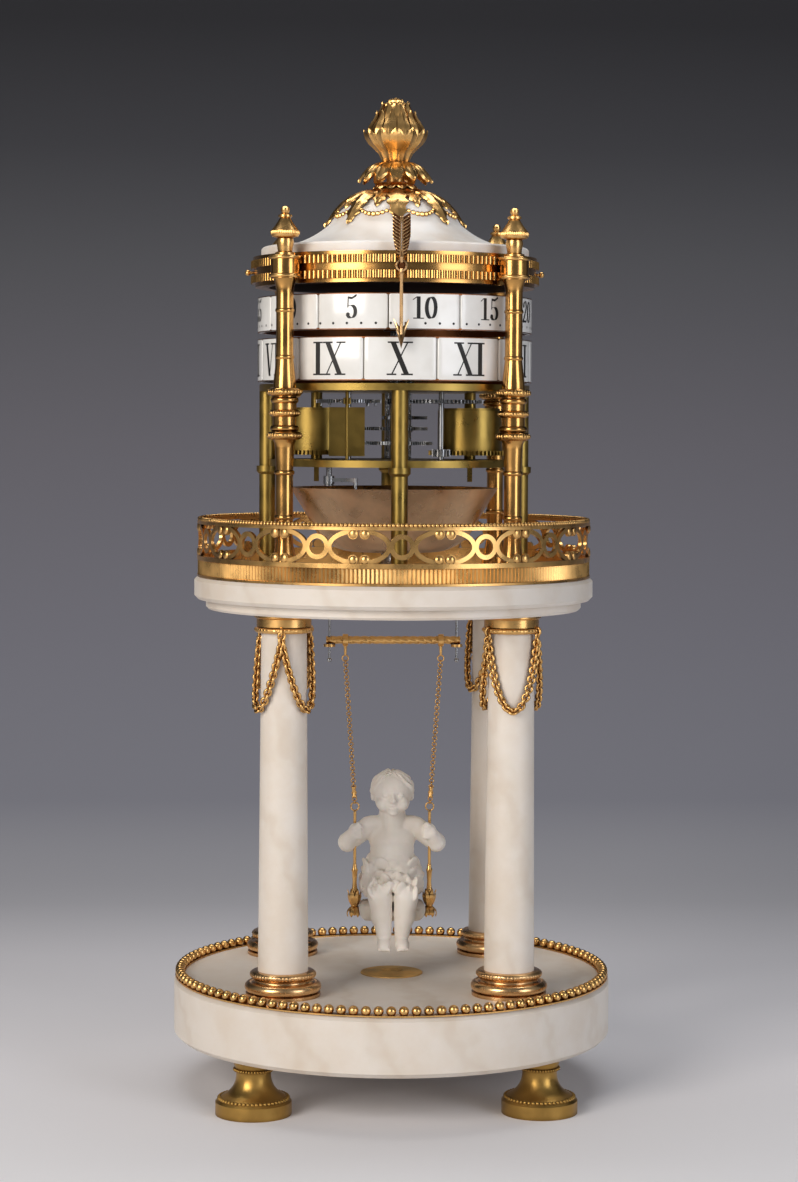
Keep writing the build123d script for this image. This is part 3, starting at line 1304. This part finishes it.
# Arrow pointer
def make_arrow():
    """Feathered arrow cut from sheet, hanging over the front of both rings."""
    tip = ARROW_RIVET_HEIGHT - ARROW_TIP_DROP
    top = tip + ARROW_LENGTH
    half = ARROW_SHAFT_WIDTH / 2
    head = ARROW_HEAD_WIDTH / 2
    tail = ARROW_TAIL_WIDTH / 2
    neck = tip + 1.6 * ARROW_HEAD_WIDTH
    feather = top - 1.9 * ARROW_TAIL_WIDTH
    right = [
        (head, tip + 1.9 * ARROW_HEAD_WIDTH),
        (half, neck),
        (half, feather - tail),
        (tail, feather),
        (tail, top),
    ]
    left = [(-x, z) for x, z in reversed(right)]
    notch = [(0, top - 0.8 * tail)]
    outline = Polyline(*[(x, 0, z) for x, z in [(0, tip)] + right + notch + left], close=True)
    back = CORNICE_RADIUS + ARROW_STANDOFF
    front = back + ARROW_THICKNESS
    arrow = extrude(Pos(0, -back, 0) * make_face(outline), ARROW_THICKNESS, dir=(0, -1, 0))
    rivet_back, rivet_front = (0, -back, ARROW_RIVET_HEIGHT), (0, -front, ARROW_RIVET_HEIGHT)
    arrow += strut(rivet_back, rivet_front, ARROW_BOSS_RADIUS, ARROW_BOSS_RADIUS)
    return arrow - strut(rivet_back, rivet_front, RIVET_HOLE, RIVET_HOLE)


def make_arrow_rivet():
    """Rivet that holds the arrow off the cornice."""
    height = ARROW_RIVET_HEIGHT
    back = CORNICE_RADIUS + ARROW_STANDOFF
    face = back + ARROW_THICKNESS
    start = CORNICE_RADIUS - 1.4
    rivet = strut((0, -start, height), (0, -face, height), RIVET_RADIUS, RIVET_RADIUS)
    rivet += strut((0, -start, height), (0, -back, height), RIVET_HEAD_RADIUS, RIVET_HEAD_RADIUS)
    head = strut((0, -face, height), (0, -face - RIVET_HEAD, height), RIVET_HEAD_RADIUS, RIVET_RADIUS)
    return rivet + head


# Swing
SIDES = (-1, 1)


def make_suspension_rods():
    """Thin rods that hang the bar from the platform, with a ball at the lower end."""
    low = BAR_HEIGHT - SUSPENSION_TAIL
    hang = rod(SUSPENSION_ROD_RADIUS, low, PLATFORM_LOW)
    hang += Pos(0, 0, low) * Sphere(SUSPENSION_ROD_RADIUS * 1.7)
    return [Pos(side * SUSPENSION_SPACING / 2, 0, 0) * hang for side in SIDES]


def make_rating_nuts():
    """Milled nuts under the bar."""
    high = BAR_HEIGHT - BAR_RADIUS
    bore = SUSPENSION_ROD_RADIUS + RUNNING_CLEARANCE
    nut = ring(RATING_NUT_RADIUS, bore, high - RATING_NUT_HEIGHT, high)
    return [Pos(side * SUSPENSION_SPACING / 2, 0, 0) * nut for side in SIDES]


def make_bar():
    """Bar that the swing hangs from, with a ball at each end."""
    reach = BAR_LENGTH / 2
    bar = strut((-reach, 0, BAR_HEIGHT), (reach, 0, BAR_HEIGHT), BAR_RADIUS, BAR_RADIUS)
    for side in SIDES:
        bar += Pos(side * reach, 0, BAR_HEIGHT) * Sphere(BAR_RADIUS)
    for side in SIDES:
        at = (side * SUSPENSION_SPACING / 2, 0)
        bar -= rod(SUSPENSION_ROD_RADIUS + RUNNING_CLEARANCE, BAR_HEIGHT - 9, BAR_HEIGHT + 9, at)
    return bar


def make_hooks():
    """Loops that ride on the bar, each with an eye for its chain."""
    bore = BAR_RADIUS + HOOK_CLEARANCE
    hooks = []
    for side in SIDES:
        x = side * HOOK_SPACING / 2
        start, end = (x - HOOK_WIDTH / 2, 0, BAR_HEIGHT), (x + HOOK_WIDTH / 2, 0, BAR_HEIGHT)
        loop = strut(start, end, bore + HOOK_WALL, bore + HOOK_WALL)
        eye_height = BAR_HEIGHT - CHAIN_TOP_DROP
        neck = BAR_HEIGHT - bore - HOOK_WALL / 2
        loop += strut((x, 0, neck), (x, 0, eye_height + EYE_RADIUS), HOOK_WALL, HOOK_WALL * 0.6)
        loop += Pos(x, 0, eye_height) * Rot(90, 0, 0) * Torus(EYE_RADIUS, EYE_WIRE)
        through = strut((x - HOOK_WIDTH, 0, BAR_HEIGHT), (x + HOOK_WIDTH, 0, BAR_HEIGHT), bore, bore)
        hooks.append(loop - through)
    return hooks


def chain_ends(side):
    """Centres of the hook's eye and of the ring at the lower end of one chain."""
    top = Vector(side * HOOK_SPACING / 2, 0, BAR_HEIGHT - CHAIN_TOP_DROP)
    low = Vector(side * SEAT_SPACING / 2, 0, BAR_HEIGHT - CHAIN_BOTTOM_DROP)
    return top, low


def make_chains():
    """Straight chains of round links, each a quarter turn from the last."""
    link = Torus(CHAIN_LINK_RADIUS, CHAIN_WIRE_RADIUS)
    hole = CHAIN_LINK_RADIUS - CHAIN_WIRE_RADIUS
    pieces = []
    for side in SIDES:
        top, low = chain_ends(side)
        along = (low - top).normalized()
        first = top + along * (EYE_RADIUS - EYE_WIRE + hole - END_PLAY)
        last = low - along * (RING_LINK_RADIUS - RING_LINK_WIRE + hole - END_PLAY)
        count = math.ceil((last - first).length / (2 * hole - LINK_PLAY))
        count += count % 2
        for index in range(count + 1):
            here = first + (last - first) * (index / count)
            flat = Plane(here, x_dir=along, z_dir=(0, 1, 0))
            pieces.append(flat * Rot(0 if index % 2 else 90, 0, 0) * link)
    return pieces


def make_swing_rings():
    """Rings between chains and hangers."""
    loop = Rot(90, 0, 0) * Torus(RING_LINK_RADIUS, RING_LINK_WIRE)
    return [Pos(*chain_ends(side)[1]) * loop for side in SIDES]


def hanger_line(side):
    """Top and bottom of one hanger."""
    ring_at = chain_ends(side)[1]
    top = ring_at.Z - RING_LINK_RADIUS - RING_LINK_WIRE - RUNNING_CLEARANCE
    return (ring_at.X, 0, top), (ring_at.X, 0, SEAT_TOP + MOUNT_RISE)


def make_hangers():
    """Straight gilt rods from the rings to the seat mounts."""
    return [strut(*hanger_line(side), HANGER_RADIUS, HANGER_RADIUS) for side in SIDES]


def make_seat():
    """Bisque seat with rounded edges."""
    middle = SEAT_TOP - SEAT_THICKNESS / 2
    slab = Box(SWING_SEAT_WIDTH, SEAT_DEPTH, SEAT_THICKNESS)
    slab = fillet(slab.edges(), SEAT_ROUNDING)
    return Pos(0, 0, middle) * slab


def make_mounts():
    """Gilt leaf mounts at the ends of the seat, each carrying a hanger."""
    tall = MOUNT_RISE + SEAT_THICKNESS - MOUNT_SHORT
    low = SEAT_TOP + MOUNT_RISE - tall
    leaf = turned(
        (0, low),
        ((0.9 * MOUNT_RADIUS, low + 0.06 * tall), (MOUNT_RADIUS, low + 0.22 * tall)),
        ((0.8 * MOUNT_RADIUS, low + 0.6 * tall), (HANGER_RADIUS * 1.3, low + tall)),
        (0, low + tall),
    )
    side_cut = Box(SWING_SEAT_WIDTH + 2 * RUNNING_CLEARANCE, 4 * SEAT_DEPTH, 8 * SEAT_THICKNESS)
    return [Pos(side * SEAT_SPACING / 2, 0, 0) * leaf - Pos(0, 0, SEAT_TOP) * side_cut for side in SIDES]


def make_figure():
    """Child seated on the swing: head, body, limbs and a cloth about the hips."""
    seat = SEAT_TOP
    size = FIGURE_HEIGHT
    shoulder = seat + 0.56 * size
    head = seat + size - HEAD_RADIUS
    hand = seat + 0.505 * size
    reach = 0.13 * size
    shoulder_low = shoulder - 0.04 * size
    torso = limb((0, 2.5, seat + 0.17 * size), (0, 1.5, shoulder - 0.1 * size), 0.165 * size, 0.16 * size)
    body = [
        limb((-reach, 1.5, shoulder_low), (reach, 1.5, shoulder_low), 4.6, 4.6),
        limb((0, 1.5, shoulder - 2), (0, 0.6, head - 0.5 * HEAD_RADIUS), 3.4, 3.2),
        Pos(0, 0.5, head) * Sphere(HEAD_RADIUS),
        Pos(0, -1.4, head - 0.3 * HEAD_RADIUS) * Sphere(0.78 * HEAD_RADIUS),
    ]
    for side in SIDES:
        hip = (side * 5.6, -0.6, seat + 6.3)
        knee = (side * 6.0, -14.0, seat + 3.8)
        ankle = (side * 5.2, -13.0, seat - 17.0)
        toe = (side * 5.8, -18.5, seat - 19.4)
        elbow = (side * 22.0, 2.5, hand - 0.19 * size)
        palm = (side * SEAT_SPACING / 2, 0.0, hand)
        body.append(limb((side * 0.15 * size, 1.5, shoulder - 2.4), elbow, 4.0, 2.9))
        body.append(limb(elbow, palm, 2.9, 2.3))
        body.append(limb(hip, knee, 5.4, 4.2))
        body.append(limb((knee[0], knee[1] + 0.2, knee[2] - 0.3), ankle, 4.0, 2.4))
        body.append(limb(ankle, toe, 2.3, 1.8))
    body.append(limb((-5.2, 3.4, seat + 6.6), (5.2, 3.4, seat + 6.6), 7.2, 7.2))
    figure = torso
    for piece in body:
        figure += piece
    below = Box(SWING_SEAT_WIDTH + 2, SEAT_DEPTH + 0.5, SEAT_CUT + 2 * RUNNING_CLEARANCE)
    figure -= Pos(0, 0, seat - SEAT_CUT / 2) * below
    for side in SIDES:
        grip = HANGER_RADIUS + RUNNING_CLEARANCE
        figure -= strut(*hanger_line(side), grip, grip)
    return figure


def main():
    os.makedirs("parts", exist_ok=True)
    write("feet", *make_feet())
    write("plinth", make_plinth())
    write("base_bead_ring", *make_bead_ring())
    write("base_medallion", make_medallion())
    write("column_bases", *make_column_bases())
    write("column_shafts", *make_column_shafts())
    write("column_capitals", *make_capitals())
    write("column_tie_rods", *make_tie_rods())
    write("chain_garlands", *make_garlands())
    write("platform", make_platform())
    write("gallery_band", make_gallery_band())
    write("gallery_pierced", make_gallery())
    write("gallery_rim", make_gallery_rim())
    write("bell", make_bell())
    write("bell_stand", make_bell_stand())
    write("bell_nut", make_bell_nut())
    write("movement_posts", *make_posts())
    write("lower_plate", make_lower_plate())
    write("upper_plate", make_upper_plate())
    write("plate_screws", *make_plate_screws())
    write("motion_stud", make_motion_stud())
    write("going_barrel", make_barrel(GOING_BARREL_AT))
    write("intermediate_arbor", make_intermediate())
    write("centre_arbor", make_centre_arbor())
    write("third_arbor", make_third())
    write("escape_arbor", make_escape())
    write("anchor", make_anchor())
    write("minute_wheel", make_minute_wheel())
    write("strike_barrel", make_barrel(STRIKE_BARREL_AT))
    write("pin_wheel_arbor", make_pin_wheel())
    write("fly_arbor", make_fly())
    write("hammer_stud", make_hammer_stud())
    write("hammer", make_hammer())
    write("hour_ring_frame", make_hour_ring())
    write("hour_plaques", *plaques(HOUR_LOW, HOUR_TOP, 0))
    write("minute_ring_frame", make_minute_ring())
    write("minute_plaques", *plaques(MINUTE_LOW, MINUTE_TOP, MINUTE_REST_TURN_DEG))
    write("upper_columns", *make_upper_columns())
    write("column_finials", *make_column_finials())
    write("cornice", make_cornice())
    write("cornice_board", make_cornice_board())
    write("cornice_pins", *make_cornice_pins())
    write("dome", make_dome())
    write("dome_cap", make_dome_cap())
    write("leaf_collar", make_leaf_collar())
    write("finial", make_finial())
    write("arrow_pointer", make_arrow())
    write("arrow_rivet", make_arrow_rivet())
    write("suspension_rods", *make_suspension_rods())
    write("rating_nuts", *make_rating_nuts())
    write("swing_bar", make_bar())
    write("swing_hooks", *make_hooks())
    write("swing_chains", *make_chains())
    write("swing_rings", *make_swing_rings())
    write("swing_hangers", *make_hangers())
    write("swing_mounts", *make_mounts())
    write("swing_seat", make_seat())
    write("swing_figure", make_figure())


if __name__ == "__main__":
    main()
